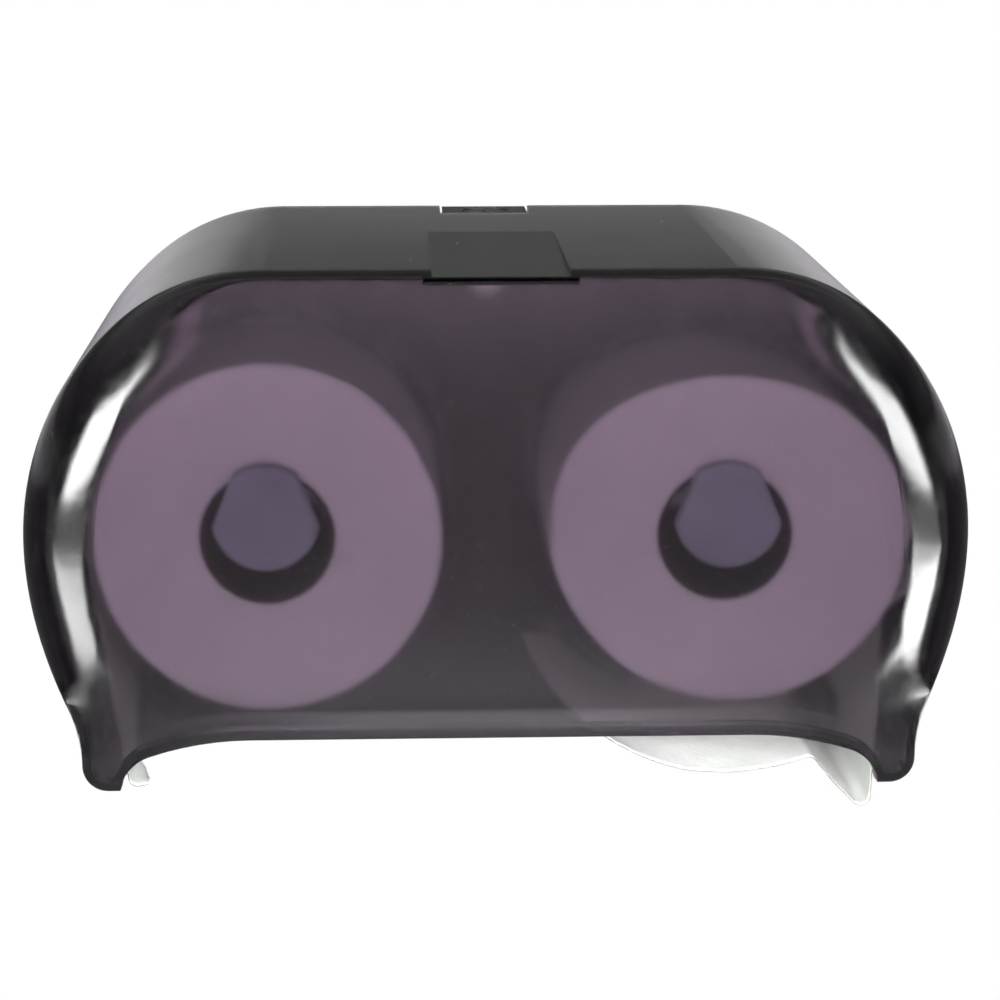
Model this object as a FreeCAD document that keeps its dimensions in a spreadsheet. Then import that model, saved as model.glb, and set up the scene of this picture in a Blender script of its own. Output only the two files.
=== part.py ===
import FreeCAD, Part
import math
import os
import re

import Sketcher
from FreeCAD import Placement, Rotation, Vector

# Wall-hung twin-roll toilet paper dispenser.
# Frame: +Z up, the wall is the plane y = 0 and the front looks along -Y.
# The origin is the centre of the four wall screws, on the wall.

SIZES = {
    # rolls
    "roll_diameter": 121.2,
    "roll_width": 108.0,
    "roll_gap": 36.8,
    "roll_back": 32.0,
    "roll_edge": 2.0,
    "core_bore": 44.2,
    "core_wall": 1.2,
    "roll_play": 0.3,
    # room between the rolls and the cover
    "side_space": 22.9,
    "top_space": 39.5,
    "front_space": 28.0,
    # cover outline, seen from the front at its rim on the wall side
    "shoulder_angle": 40.0,
    "shoulder_radius": 75.0,
    "widest_rise": 2.9,
    "lower_radius": 113.0,
    "flare_angle": 30.0,
    "flare_radius": 32.0,
    "foot_radius": 11.4,
    "foot_flat": 6.0,
    # arch cut into the bottom of the cover
    "arch_foot_rise": 4.75,
    "arch_radius": 103.0,
    "arch_angle": 18.7,
    "arch_end_radius": 11.5,
    "arch_end_angle": 75.0,
    # cover shell
    "wall_gap": 1.5,
    "draft_angle": 0.9,
    "cover_wall": 3.0,
    "top_round": 4.0,
    "shoulder_round": 14.0,
    "side_round": 26.0,
    "flare_round": 12.0,
    "foot_round": 4.0,
    "inner_round": 1.0,
    "mouth_lip": 10.0,
    "panel_width": 45.0,
    "panel_length": 98.0,
    "panel_depth": 2.4,
    "notch_margin": 8.5,
    "notch_gap": 1.0,
    # back base
    "base_clearance": 1.2,
    "base_thickness": 3.0,
    "base_wall": 2.5,
    "base_lip": 5.0,
    "tray_depth": 20.0,
    "tray_radius": 54.0,
    "base_below_hinge": 14.6,
    "base_side_radius": 95.0,
    "base_corner": 15.0,
    "rib_width": 2.4,
    "rib_height": 3.0,
    # wall screws
    "screw_spacing_x": 160.0,
    "screw_spacing_z": 110.0,
    "screw_hole": 5.5,
    "screw_boss": 16.0,
    "screw_boss_height": 4.0,
    # cover hinge
    "hinge_back": 57.0,
    "hinge_below_foot": 7.5,
    "pin_diameter": 6.0,
    "pin_play": 0.05,
    "ear_cover": 0.5,
    "ear_thickness": 5.3,
    "ear_radius": 8.0,
    "ear_height": 22.0,
    "arm_thickness": 4.0,
    "arm_step": 2.0,
    "arm_radius": 6.5,
    "arm_gap": 0.7,
    # spindles
    "spindle_height": 12.5,
    "spindle_diameter": 25.6,
    "spindle_wall": 2.5,
    "spindle_proud": 6.0,
    "spindle_flange": 52.0,
    "flange_thickness": 4.0,
    "flange_edge": 5.0,
    "root_diameter": 33.0,
    "root_gap": 6.0,
    "pad_margin": 1.0,
    "pad_height": 5.0,
    "cap_diameter": 37.0,
    "cap_thickness": 4.0,
    "cap_low_angle": 9.0,
    "cap_high_angle": 54.0,
    "cap_edge": 1.0,
    "cap_plug": 8.0,
    "plug_play": 0.1,
    "mark_diameter": 3.2,
    "mark_height": 0.5,
    "mark_side": 8.6,
    "mark_below": 4.0,
    "flange_screw": 3.6,
    "flange_screw_head": 7.0,
    "flange_screw_head_height": 2.4,
    "flange_screw_length": 8.0,
    # loose paper
    "paper_thickness": 0.6,
    "left_leave_angle": 12.0,
    "left_hold_angle": 40.0,
    "left_tail_below": 19.9,
    "right_leave_angle": 14.0,
    "right_hold_angle": 30.0,
    "hang_run": 10.0,
    "hang_radius": 120.0,
    "hang_angle": 0.5,
    "fold_below": 35.3,
    "fold_radius": 3.5,
    "fold_angle": 137.7,
    "crest_run": 21.5,
    "crest_radius": 3.0,
    "crest_angle": 68.0,
    "curl_gap": 17.5,
    "curl_angle": 90.0,
    # key lock
    "lock_diameter": 14.0,
    "lock_lip": 1.5,
    "lock_head_height": 3.0,
    "lock_length": 21.0,
    "lock_play": 0.05,
    "head_play": 0.5,
    "block_wall": 2.5,
    "block_below_top": 0.5,
    "shelf_margin": 3.0,
    "shelf_front": 6.5,
    "nut_wall": 2.5,
    "nut_height": 4.0,
    "nut_gap": 0.5,
    "key_plug": 9.0,
    "key_width": 1.4,
    "key_length": 6.0,
    "key_depth": 12.0,
    "cam_reach": 26.0,
    "cam_width": 9.0,
    "cam_thickness": 3.0,
    "cam_square": 6.0,
    "cam_gap": 1.0,
    "cam_screw": 3.4,
    "cam_screw_head": 8.0,
    "cam_screw_head_height": 2.5,
    "cam_screw_length": 10.0,
    "catch_inset": 4.0,
    "catch_width": 5.0,
    "catch_thickness": 3.0,
    "catch_gap": 1.3,
    "catch_overlap": 4.0,
    "catch_play": 1.5,
}

doc = FreeCAD.newDocument("dispenser")
sheet = doc.addObject("Spreadsheet::Sheet", "Sizes")
for row, (alias, value) in enumerate(SIZES.items(), start=1):
    sheet.set(f"A{row}", alias)
    sheet.set(f"B{row}", str(value))
    sheet.setAlias(f"B{row}", alias)
doc.recompute()


# Helpers

def formula(text):
    """Write a size formula in the document's terms, with each alias as a cell of the sheet."""
    return re.sub(r"[a-z_]+", lambda word: f"Sizes.{word[0]}" if word[0] in SIZES else word[0], str(text))


def number(text):
    """The present value of a size formula."""
    value = sheet.evalExpression(formula(text))
    return float(getattr(value, "Value", value))


def bind(thing, **formulas):
    """Bind properties to size formulas; two underscores stand for a dot."""
    for name, text in formulas.items():
        thing.setExpression(name.replace("__", "."), formula(text))
    return thing


def place(thing, x="0", y="0", z="0"):
    return bind(thing, Placement__Base__x=x, Placement__Base__y=y, Placement__Base__z=z)


def new_body(name):
    body = doc.addObject("PartDesign::Body", name)
    body.Label = name
    return body


def new_sketch(body, plane, name, offset="0"):
    """A sketch on one of the body's own origin planes, moved along that plane's normal."""
    sketch = body.newObject("Sketcher::SketchObject", name)
    origin_plane = next(item for item in body.Origin.OriginFeatures if item.Role == plane)
    sketch.AttachmentSupport = [(origin_plane, "")]
    sketch.MapMode = "FlatFace"
    bind(sketch, AttachmentOffset__Base__z=offset)
    return sketch


def pin_down(sketch, kind, values, text):
    """Add one dimension to a sketch and bind it to a size formula."""
    index = sketch.addConstraint(Sketcher.Constraint(kind, *values, number(text)))
    sketch.setExpression(f"Constraints[{index}]", formula(text))


def draw_loop(sketch, corners, closed=True):
    """Draw corners (x, y, bend): a bend of None runs straight to the next corner, and
    ("left", radius) or ("right", radius) turns to it on an arc under half a circle."""
    points = [Vector(number(x), number(y), 0) for x, y, bend in corners]
    count = len(corners)
    runs = count if closed else count - 1
    ends = []
    for i in range(runs):
        start, end = points[i], points[(i + 1) % count]
        bend = corners[i][2]
        if bend is None:
            edge = sketch.addGeometry(Part.LineSegment(start, end), False)
            ends.append((edge, 1, 2))
            continue
        side, radius = bend
        reach = number(radius)
        chord = end - start
        rise = math.sqrt(max(reach ** 2 - (chord.Length / 2) ** 2, 0))
        across = Vector(-chord.y, chord.x, 0).normalize()
        centre = (start + end) / 2 + across * (rise if side == "left" else -rise)
        circle = Part.Circle(centre, Vector(0, 0, 1), reach)
        before, after = (start, end) if side == "left" else (end, start)
        angles = [math.atan2(p.y - centre.y, p.x - centre.x) for p in (before, after)]
        edge = sketch.addGeometry(Part.ArcOfCircle(circle, *angles), False)
        ends.append((edge, 1, 2) if side == "left" else (edge, 2, 1))
        pin_down(sketch, "Radius", (edge,), radius)
    joints = runs if closed else runs - 1
    for i in range(joints):
        edge, _, last = ends[i]
        following, first, _ = ends[(i + 1) % runs]
        sketch.addConstraint(Sketcher.Constraint("Coincident", edge, last, following, first))
    for i, (x, y, bend) in enumerate(corners):
        edge, position = (ends[i][0], ends[i][1]) if i < runs else (ends[-1][0], ends[-1][2])
        pin_down(sketch, "DistanceX", (edge, position), x)
        pin_down(sketch, "DistanceY", (edge, position), y)


def draw_circle(sketch, x, y, diameter):
    circle = Part.Circle(Vector(number(x), number(y), 0), Vector(0, 0, 1), number(diameter) / 2)
    edge = sketch.addGeometry(circle, False)
    pin_down(sketch, "Diameter", (edge,), diameter)
    pin_down(sketch, "DistanceX", (edge, 3), x)
    pin_down(sketch, "DistanceY", (edge, 3), y)


def draw_rectangle(sketch, x0, y0, x1, y1):
    draw_loop(sketch, [(x0, y0, None), (x1, y0, None), (x1, y1, None), (x0, y1, None)])


def pad(body, sketch, length, taper="0", reversed_way=False):
    feature = body.newObject("PartDesign::Pad", sketch.Name + "_pad")
    feature.Profile = sketch
    feature.Reversed = reversed_way
    bind(feature, Length=length, TaperAngle=taper)
    return feature


def pocket(body, sketch, length=None, reversed_way=False):
    """Cut a sketch into the body: to a depth, or right through."""
    feature = body.newObject("PartDesign::Pocket", sketch.Name + "_cut")
    feature.Profile = sketch
    feature.Reversed = reversed_way
    if length is None:
        feature.Type = "ThroughAll"
        feature.SideType = "Symmetric"
    else:
        bind(feature, Length=length)
    return feature


def revolve(body, sketch, axis):
    feature = body.newObject("PartDesign::Revolution", sketch.Name + "_turned")
    feature.Profile = sketch
    feature.ReferenceAxis = (sketch, [axis])
    feature.Angle = 360
    return feature


def bevel_edges(body, edges, size):
    """Chamfer named edges of the body's last feature."""
    last = body.Tip
    feature = body.newObject("PartDesign::Chamfer", last.Name + "_bevel")
    feature.Base = (last, edges)
    bind(feature, Size=size)
    return feature


def new_box(name, x, y, z, length, width, height):
    box = doc.addObject("Part::Box", name)
    bind(box, Length=length, Width=width, Height=height)
    return place(box, x, y, z)


def new_cylinder(name, direction, radius, height, x, y, z):
    """A cylinder that starts at (x, y, z) and runs along direction."""
    cylinder = doc.addObject("Part::Cylinder", name)
    cylinder.Placement = Placement(Vector(), Rotation(Vector(0, 0, 1), direction))
    bind(cylinder, Radius=radius, Height=height)
    return place(cylinder, x, y, z)


def join(name, *shapes):
    fused = doc.addObject("Part::MultiFuse", name)
    fused.Shapes = list(shapes)
    fused.Label = name
    return fused


def cut(name, base, tool):
    result = doc.addObject("Part::Cut", name)
    result.Base = base
    result.Tool = tool
    result.Label = name
    return result


SIDES = {"left": "-1", "right": "1"}
ALONG_X = Vector(1, 0, 0)
TO_FRONT = Vector(0, -1, 0)
UP = Vector(0, 0, 1)


# Places that follow from the rolls

ROLL_X = "((roll_diameter + roll_gap) / 2)"
ROLL_Z = "(spindle_height + spindle_diameter / 2 + roll_play - core_bore / 2)"
ROLL_BOTTOM = f"({ROLL_Z} - roll_diameter / 2)"
WRAP = "(roll_diameter / 2 + roll_play + paper_thickness / 2)"
SEAT_FRONT = "(base_thickness + pad_height)"
FLANGE_FRONT = f"({SEAT_FRONT} + flange_thickness)"
FLANGE_SCREW_X = "(spindle_flange / 2 - flange_edge)"
SPINDLE_END = "(roll_back + roll_width + spindle_proud)"
COVER_FRONT = f"({SPINDLE_END} + cap_thickness + front_space + cover_wall)"

# Outline of the cover and the base

HALF = f"({ROLL_X} + roll_diameter / 2 + side_space)"
TOP = f"({ROLL_Z} + roll_diameter / 2 + top_space)"
WIDEST_Z = f"({ROLL_Z} + widest_rise)"
SPREAD = f"(({TOP} - {WIDEST_Z} - shoulder_radius) / cos(shoulder_angle))"
SIDE_RADIUS = f"(shoulder_radius + {SPREAD})"
SHOULDER_Z = f"({TOP} - shoulder_radius * (1 - cos(shoulder_angle)))"
TOP_FLAT = f"({HALF} - {SIDE_RADIUS} + {SPREAD} * sin(shoulder_angle))"
FLARE_X = f"({HALF} - lower_radius * (1 - cos(flare_angle)))"
FLARE_Z = f"({WIDEST_Z} - lower_radius * sin(flare_angle))"
FOOT_X = f"({FLARE_X} - flare_radius * (1 - cos(flare_angle)))"
FOOT_Z = f"({FLARE_Z} - flare_radius * sin(flare_angle))"
FOOT_BOTTOM = f"({FOOT_Z} - foot_radius)"

# Arch: centre of its end arc, then its flat

ARCH_RISE_Z = f"({FOOT_BOTTOM} + arch_foot_rise)"
ARCH_Z = f"({ARCH_RISE_Z} - arch_end_radius * cos(arch_end_angle))"
ARCH_TOP = f"({ARCH_Z} + arch_radius - (arch_radius - arch_end_radius) * cos(arch_angle))"
ARCH_RISE_X = f"({FOOT_X} - foot_radius - foot_flat - arch_foot_rise / tan(arch_end_angle))"
ARCH_X = f"({ARCH_RISE_X} - arch_end_radius * sin(arch_end_angle))"
ARCH_FLAT = f"({ARCH_X} - (arch_radius - arch_end_radius) * sin(arch_angle))"

# Hinge and base

MOUTH = f"({FOOT_X} - ear_thickness - ear_cover)"
HINGE_Z = f"({FOOT_BOTTOM} - hinge_below_foot)"
ARM_OUTSIDE = f"({MOUTH} - arm_gap)"
PIN_LENGTH = "(ear_thickness + arm_gap + arm_thickness)"
BASE_FOOT = f"({ARM_OUTSIDE} - arm_step)"
BASE_TOP = f"({TOP} - cover_wall - base_clearance)"
BASE_BOTTOM = f"({HINGE_Z} - base_below_hinge)"

# Lock

LOCK_HEAD = "(lock_diameter + 2 * lock_lip)"
NUT = "(lock_diameter + 2 * nut_wall)"
LOCK_BACK = f"(base_thickness + nut_gap + {NUT} / 2)"
LOCK_BOTTOM = f"({BASE_TOP} - lock_length)"
CAM_TOP = f"({LOCK_BOTTOM} - cam_gap)"
CAM_BOTTOM = f"({CAM_TOP} - cam_thickness)"
CATCH_X = "(cam_reach - catch_inset)"
CATCH_FRONT = f"(cam_width / 2 + catch_gap - {LOCK_BACK})"
BLOCK_REACH = f"({LOCK_BACK} + {LOCK_HEAD} / 2 + head_play + block_wall)"
SHELF_REACH = f"({LOCK_BACK} + {LOCK_HEAD} / 2 + shelf_front)"


def mirror_loop(right_side):
    """Close a right-hand run of corners with its mirror image on the left."""
    left_side = []
    for i in range(len(right_side) - 1, -1, -1):
        x, z, _ = right_side[i]
        bend = right_side[i - 1][2] if i > 0 else None
        left_side.append((f"-({x})", z, bend))
    return right_side + left_side


def shoulder_corners(inset):
    """The top flat, the shoulder's two arcs and the widest point, set in by inset."""
    return [
        (TOP_FLAT, f"{TOP} - {inset}", ("right", f"shoulder_radius - {inset}")),
        (f"{TOP_FLAT} + (shoulder_radius - {inset}) * sin(shoulder_angle)",
         f"{TOP} - shoulder_radius + (shoulder_radius - {inset}) * cos(shoulder_angle)",
         ("right", f"{SIDE_RADIUS} - {inset}")),
    ]


def cover_corners(inset):
    """The cover's outline with its feet and arch, set in by inset."""
    end_reach = f"(arch_end_radius + {inset})"
    rise_x = f"({ARCH_X} + {end_reach} * sin(arch_end_angle))"
    rise_z = f"({ARCH_Z} + {end_reach} * cos(arch_end_angle))"
    floor_z = f"({FOOT_BOTTOM} + {inset})"
    return mirror_loop(shoulder_corners(inset) + [
        (f"{HALF} - {inset}", WIDEST_Z, ("right", f"lower_radius - {inset}")),
        (f"{FLARE_X} - {inset} * cos(flare_angle)", f"{FLARE_Z} + {inset} * sin(flare_angle)",
         ("left", f"flare_radius + {inset}")),
        (f"{FOOT_X} - {inset}", FOOT_Z, ("right", f"foot_radius - {inset}")),
        (f"{FOOT_X} - foot_radius", floor_z, None),
        (f"{rise_x} + ({rise_z} - {floor_z}) / tan(arch_end_angle)", floor_z, None),
        (rise_x, rise_z, ("left", end_reach)),
        (f"{ARCH_FLAT} + (arch_radius + {inset}) * sin(arch_angle)",
         f"{ARCH_TOP} - arch_radius + (arch_radius + {inset}) * cos(arch_angle)",
         ("left", f"arch_radius + {inset}")),
        (ARCH_FLAT, f"{ARCH_TOP} + {inset}", None),
    ])


def tray_corners(inset):
    """The tray's deep rim: straight sides that stand clear of the swinging cover."""
    side = f"({BASE_FOOT} - {inset})"
    return mirror_loop([
        (f"{BASE_FOOT} - tray_radius", f"{BASE_TOP} - {inset}", ("right", f"tray_radius - {inset}")),
        (side, f"{BASE_TOP} - tray_radius", None),
        (side, f"{BASE_BOTTOM} + base_corner", ("right", f"base_corner - {inset}")),
        (f"{BASE_FOOT} - base_corner", f"{BASE_BOTTOM} + {inset}", None),
    ])


def base_corners(inset):
    """The base plate's outline: inside the cover at the top, narrower at the hinge."""
    total = f"(cover_wall + base_clearance + {inset})"
    foot = f"({BASE_FOOT} - {inset})"
    reach = f"(base_side_radius - {inset})"
    narrowing = f"({HALF} - {total} - {foot})"
    return mirror_loop(shoulder_corners(total) + [
        (f"{HALF} - {total}", WIDEST_Z, ("right", reach)),
        (foot, f"{WIDEST_Z} - sqrt({reach} ^ 2 - ({reach} - {narrowing}) ^ 2)", None),
        (foot, f"{BASE_BOTTOM} + base_corner", ("right", f"base_corner - {inset}")),
        (f"{BASE_FOOT} - base_corner", f"{BASE_BOTTOM} + {inset}", None),
    ])


# Front cover

def round_front_edge(name, blank, lessening):
    """Round the blank's front edge: tight at the top and the feet, wide at the sides, none along the arch."""
    rounds = [
        (TOP, "top_round"),
        (SHOULDER_Z, "shoulder_round"),
        (WIDEST_Z, "side_round"),
        (FLARE_Z, "flare_round"),
        (FOOT_Z, "foot_round"),
    ]
    levels = [(number(height), number(reach)) for height, reach in rounds]
    arch_reach = number(f"{ARCH_X} + 2 * arch_end_radius")

    def on_arch(point):
        return point.z < 0 and abs(point.x) < arch_reach

    def reach_at(point):
        """The rounding wanted at a corner, from the outline corner nearest in height."""
        reach = min(levels, key=lambda level: abs(level[0] - point.z))[1]
        return max(reach - lessening, number("inner_round"))

    front = min(blank.Shape.Faces, key=lambda face: face.CenterOfMass.y)
    edges = []
    for edge in front.OuterWire.OrderedEdges:
        index = next(i for i, known in enumerate(blank.Shape.Edges, start=1) if known.isSame(edge))
        ends = [edge.firstVertex(True).Point, edge.lastVertex(True).Point]
        if all(on_arch(end) for end in ends):
            continue
        edges.append((index, reach_at(ends[0]), reach_at(ends[1])))
    rounded = doc.addObject("Part::Fillet", name)
    rounded.Base = blank
    rounded.Edges = edges
    return rounded


def cover_blank(name, inset, depth):
    body = new_body(name)
    sketch = new_sketch(body, "XZ_Plane", name + "_outline", "wall_gap")
    draw_loop(sketch, cover_corners(inset))
    pad(body, sketch, depth, "-draft_angle")
    doc.recompute()
    return body


def panel_box(name, side_margin, sink):
    """A box whose sloping floor makes the sunk panel behind the top front edge."""
    box = doc.addObject("Part::Box", name)
    slope = "(draft_angle * 1 deg + atan(panel_depth / panel_length))"
    start = f"({COVER_FRONT} - panel_length)"
    box.Placement = Placement(Vector(), Rotation(ALONG_X, 1))
    bind(box, Length=f"panel_width + 2 * {side_margin}", Width="2 * panel_length", Height=TOP)
    bind(box, Placement__Rotation__Angle=slope)
    place(box,
          f"-panel_width / 2 - {side_margin}",
          f"-{start} - 2 * panel_length * cos({slope})",
          f"{TOP} - ({start} - wall_gap) * tan(draft_angle) - 2 * panel_length * sin({slope}) - {sink}")
    return box


def make_front_cover():
    depth = f"({COVER_FRONT} - wall_gap)"
    outer = round_front_edge("cover_outer", cover_blank("cover_blank", "0", depth), 0.0)
    hollow = round_front_edge("hollow_rounded",
                              cover_blank("cover_hollow", "cover_wall", f"{depth} - cover_wall"),
                              number("cover_wall"))
    inner = cut("cover_inner", hollow, panel_box("panel_relief", "cover_wall", "cover_wall"))
    mouth = new_box("cover_mouth", f"-{MOUTH}", f"mouth_lip - {COVER_FRONT}", f"2 * {BASE_BOTTOM}",
                    f"2 * {MOUTH}", COVER_FRONT, f"{FLARE_Z} - 2 * {BASE_BOTTOM}")
    notch_reach = f"({BLOCK_REACH} + notch_gap)"
    notch = new_box("key_notch", f"-{LOCK_HEAD} / 2 - notch_margin", f"-{notch_reach}",
                    f"{TOP} - 2 * cover_wall", f"{LOCK_HEAD} + 2 * notch_margin", f"2 * {notch_reach}",
                    "4 * cover_wall")
    removed = join("cover_removed", inner, mouth, notch, panel_box("panel_tool", "0", "0"))
    added = [cut("cover_shell", outer, removed)]
    bores = []
    for side, sign in SIDES.items():
        start_x = f"{sign} * {MOUTH} + min(0; {sign}) * ear_thickness"
        added.append(new_cylinder(f"ear_round_{side}", ALONG_X, "ear_radius", "ear_thickness",
                                  start_x, "-hinge_back", HINGE_Z))
        added.append(new_box(f"ear_plate_{side}", start_x, "-hinge_back - ear_radius", HINGE_Z,
                             "ear_thickness", "2 * ear_radius", "ear_height"))
        bores.append(new_cylinder(f"ear_bore_{side}", ALONG_X, "pin_diameter / 2 + pin_play",
                                  "3 * ear_thickness", f"{start_x} - ear_thickness", "-hinge_back", HINGE_Z))
    added.append(new_box("lock_catch", f"{CATCH_X} - catch_width / 2",
                         CATCH_FRONT, f"{CAM_BOTTOM} - catch_overlap",
                         "catch_width", "catch_thickness",
                         f"{TOP} - cover_wall / 2 - {CAM_BOTTOM} + catch_overlap"))
    return cut("front_cover", join("cover_with_ears", *added), join("ear_bores", *bores))


# Back base

def make_back_base():
    body = new_body("base_body")
    plate = new_sketch(body, "XZ_Plane", "base_plate")
    draw_loop(plate, base_corners("0"))
    pad(body, plate, "base_thickness")
    rims = [
        ("base_edge", base_corners, "base_lip"),
        ("tray_rim", tray_corners, "tray_depth"),
    ]
    for name, outline, depth in rims:
        rim = new_sketch(body, "XZ_Plane", name)
        draw_loop(rim, outline("0"))
        draw_loop(rim, outline("base_wall"))
        pad(body, rim, depth)
    bosses = new_sketch(body, "XZ_Plane", "screw_bosses")
    holes = new_sketch(body, "XZ_Plane", "screw_holes")
    for x in ("-screw_spacing_x / 2", "screw_spacing_x / 2"):
        for z in ("-screw_spacing_z / 2", "screw_spacing_z / 2"):
            draw_circle(bosses, x, z, "screw_boss")
            draw_circle(holes, x, z, "screw_hole")
    pad(body, bosses, "base_thickness + screw_boss_height")
    seats = new_sketch(body, "XZ_Plane", "spindle_seats")
    threads = new_sketch(body, "XZ_Plane", "flange_screw_holes", f"{FLANGE_FRONT} - flange_screw_length")
    for sign in SIDES.values():
        draw_circle(seats, f"{sign} * {ROLL_X}", "spindle_height", "spindle_flange + 2 * pad_margin")
        for offset in SIDES.values():
            draw_circle(threads, f"{sign} * {ROLL_X} + {offset} * {FLANGE_SCREW_X}", "spindle_height",
                        "flange_screw")
    pad(body, seats, SEAT_FRONT)
    ribs = new_sketch(body, "XZ_Plane", "base_ribs")
    rib_bottom = f"({BASE_BOTTOM} + base_wall / 2)"
    draw_rectangle(ribs, "-rib_width / 2", rib_bottom, "rib_width / 2", "screw_spacing_z / 2")
    pad(body, ribs, "base_thickness + rib_height")
    for side, sign in SIDES.items():
        side_rib = new_sketch(body, "XZ_Plane", f"side_rib_{side}")
        draw_rectangle(side_rib, f"{sign} * {ROLL_X} - rib_width / 2", rib_bottom,
                       f"{sign} * {ROLL_X} + rib_width / 2", "spindle_height")
        pad(body, side_rib, "base_thickness + rib_height")
    shelf = new_sketch(body, "XY_Plane", "lock_shelf", f"{BASE_TOP} - base_wall")
    shelf_half = f"({CATCH_X} + catch_width / 2 + catch_play + shelf_margin)"
    draw_rectangle(shelf, f"-{shelf_half}", f"-{SHELF_REACH}", shelf_half, "-base_thickness / 2")
    pad(body, shelf, "base_wall")
    pocket(body, holes)
    pocket(body, threads, "2 * flange_screw_length", reversed_way=True)
    block_half = f"({LOCK_HEAD} / 2 + notch_margin - notch_gap)"
    key_block = new_box("key_block", f"-{block_half}", f"-{BLOCK_REACH}", f"{BASE_TOP} - base_wall / 2",
                        f"2 * {block_half}", BLOCK_REACH,
                        f"{TOP} - block_below_top - {BASE_TOP} + base_wall / 2")
    removed = [
        new_cylinder("lock_head_seat", UP, f"{LOCK_HEAD} / 2 + head_play", TOP, "0", f"-{LOCK_BACK}", BASE_TOP),
        new_cylinder("lock_hole", UP, "lock_diameter / 2 + lock_play", "4 * base_wall",
                     "0", f"-{LOCK_BACK}", f"{BASE_TOP} - 2 * base_wall"),
        new_box("catch_slot", f"{CATCH_X} - catch_width / 2 - catch_play", f"-2 * {SHELF_REACH}",
                f"{BASE_TOP} - 2 * base_wall", "catch_width + 2 * catch_play",
                f"2 * {SHELF_REACH} + {CATCH_FRONT} + catch_thickness + catch_play / 2", "4 * base_wall"),
    ]
    added = [body, key_block]
    for side, sign in SIDES.items():
        arm_x = f"{sign} * {ARM_OUTSIDE} - max(0; {sign}) * arm_thickness"
        added.append(new_box(f"hinge_arm_{side}", arm_x, "-hinge_back", f"{HINGE_Z} - arm_radius",
                             "arm_thickness", "hinge_back - base_thickness / 2", "2 * arm_radius"))
        added.append(new_cylinder(f"hinge_arm_end_{side}", ALONG_X, "arm_radius", "arm_thickness",
                                  arm_x, "-hinge_back", HINGE_Z))
        removed.append(new_cylinder(f"pin_hole_{side}", ALONG_X, "pin_diameter / 2", PIN_LENGTH,
                                    pin_start(sign), "-hinge_back", HINGE_Z))
    return cut("back_base", join("base_with_arms", *added), join("base_removed", *removed))


def pin_start(sign):
    """Where a hinge pin starts along X: it ends flush with the outside of its ear."""
    return f"{sign} * ({MOUTH} + ear_thickness) - max(0; {sign}) * {PIN_LENGTH}"


def make_hinge_pin(side, sign):
    body = new_body(f"hinge_pin_{side}")
    sketch = new_sketch(body, "YZ_Plane", f"hinge_pin_{side}_round")
    draw_circle(sketch, "-hinge_back", HINGE_Z, "pin_diameter")
    pad(body, sketch, PIN_LENGTH)
    return place(body, pin_start(sign))


# Roll spindles

def make_spindle(side, sign):
    body = new_body(f"spindle_{side}")
    sketch = new_sketch(body, "YZ_Plane", f"spindle_{side}_profile")
    bore = "(spindle_diameter / 2 - spindle_wall)"
    draw_loop(sketch, [
        (f"-{SEAT_FRONT}", bore, None),
        (f"-{SEAT_FRONT}", "spindle_flange / 2", None),
        (f"-{FLANGE_FRONT}", "spindle_flange / 2", None),
        (f"-{FLANGE_FRONT}", "root_diameter / 2", None),
        ("root_gap - roll_back", "spindle_diameter / 2", None),
        (f"-{SPINDLE_END}", "spindle_diameter / 2", None),
        (f"-{SPINDLE_END}", bore, None),
    ])
    revolve(body, sketch, "H_Axis")
    holes = new_sketch(body, "XZ_Plane", f"spindle_{side}_holes")
    for offset in SIDES.values():
        draw_circle(holes, f"{offset} * {FLANGE_SCREW_X}", "0", "flange_screw")
    pocket(body, holes)
    return place(body, f"{sign} * {ROLL_X}", "0", "spindle_height")


def make_spindle_cap(side, sign):
    body = new_body(f"spindle_cap_{side}")
    face = new_sketch(body, "XZ_Plane", f"spindle_cap_{side}_face", SPINDLE_END)
    reach = "cap_diameter / 2"
    low_x = f"{reach} * cos(cap_low_angle)"
    low_z = f"-{reach} * sin(cap_low_angle)"
    high_x = f"{reach} * cos(cap_high_angle)"
    high_z = f"{reach} * sin(cap_high_angle)"
    draw_loop(face, [
        (low_x, low_z, None),
        (high_x, high_z, ("left", reach)),
        (f"-{high_x}", high_z, None),
        (f"-{low_x}", low_z, ("left", reach)),
    ])
    pad(body, face, "cap_thickness")
    plug = new_sketch(body, "XZ_Plane", f"spindle_cap_{side}_plug", SPINDLE_END)
    draw_circle(plug, "0", "0", "spindle_diameter - 2 * spindle_wall - 2 * plug_play")
    draw_circle(plug, "0", "0", "spindle_diameter - 4 * spindle_wall - 2 * plug_play")
    pad(body, plug, "cap_plug", reversed_way=True)
    doc.recompute()
    front = -number(f"{SPINDLE_END} + cap_thickness")
    edges = [f"Edge{i}" for i, edge in enumerate(body.Shape.Edges, start=1)
             if all(abs(vertex.Point.y - front) < 1e-4 for vertex in edge.Vertexes)]
    bevel_edges(body, edges, "cap_edge")
    mark = new_sketch(body, "XZ_Plane", f"spindle_cap_{side}_mark", f"{SPINDLE_END} + cap_thickness")
    draw_circle(mark, "-mark_side", "-mark_below", "mark_diameter")
    pad(body, mark, "mark_height")
    return place(body, f"{sign} * {ROLL_X}", "0", "spindle_height")


def make_screw(name, direction, shank, length, head, head_height, x, y, z):
    """A screw whose head seats at (x, y, z) and whose shank runs along direction."""
    stem = new_cylinder(name + "_stem", direction, f"{shank} / 2", length, x, y, z)
    top = new_cylinder(name + "_head", -direction, f"{head} / 2", head_height, x, y, z)
    return join(name, stem, top)


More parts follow.
